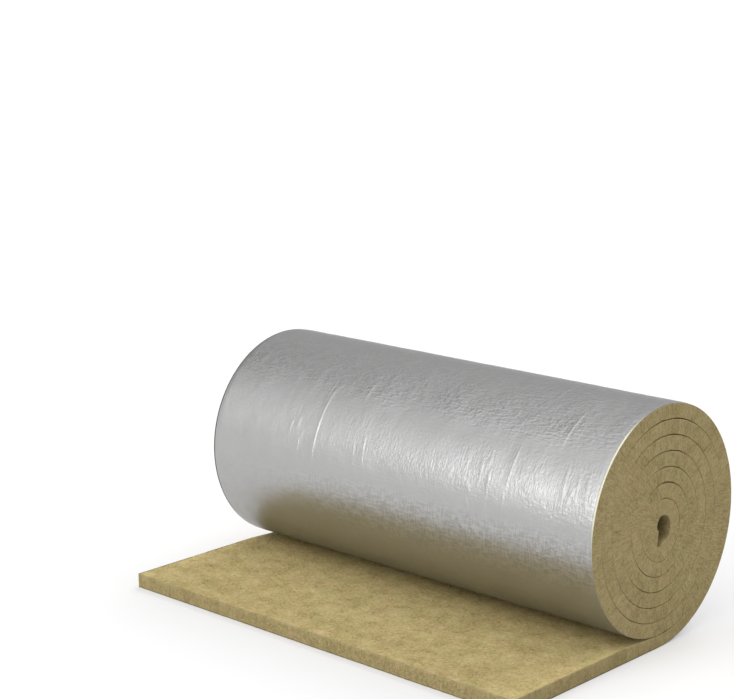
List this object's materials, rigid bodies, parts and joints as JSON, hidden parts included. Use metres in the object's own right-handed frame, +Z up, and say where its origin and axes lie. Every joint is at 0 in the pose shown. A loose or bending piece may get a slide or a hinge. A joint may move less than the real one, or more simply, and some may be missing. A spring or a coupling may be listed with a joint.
{
  "type": "rock wool insulation mat",
  "caption": "Foil-faced stone wool insulation mat, wound into a roll with its free end laid flat in front, for wrapping ducts, pipes and tanks.",
  "frame": {"origin": "on the floor, at the middle of the space that the roll and the laid-out end take up", "axes": "+X along the roll, -Y the way the free end points, +Z up"},
  "size_m": [1, 0.6868, 0.4815],
  "materials": {
    "stone_wool": "matt olive-tan mineral fibre with an open fibrous face",
    "aluminium_foil": "satin silver foil, finely crumpled, with creases round the roll"
  },
  "bodies": {
    "root": {"wool_mat": "stone_wool", "foil_facing": "aluminium_foil"}
  },
  "joints": []
}
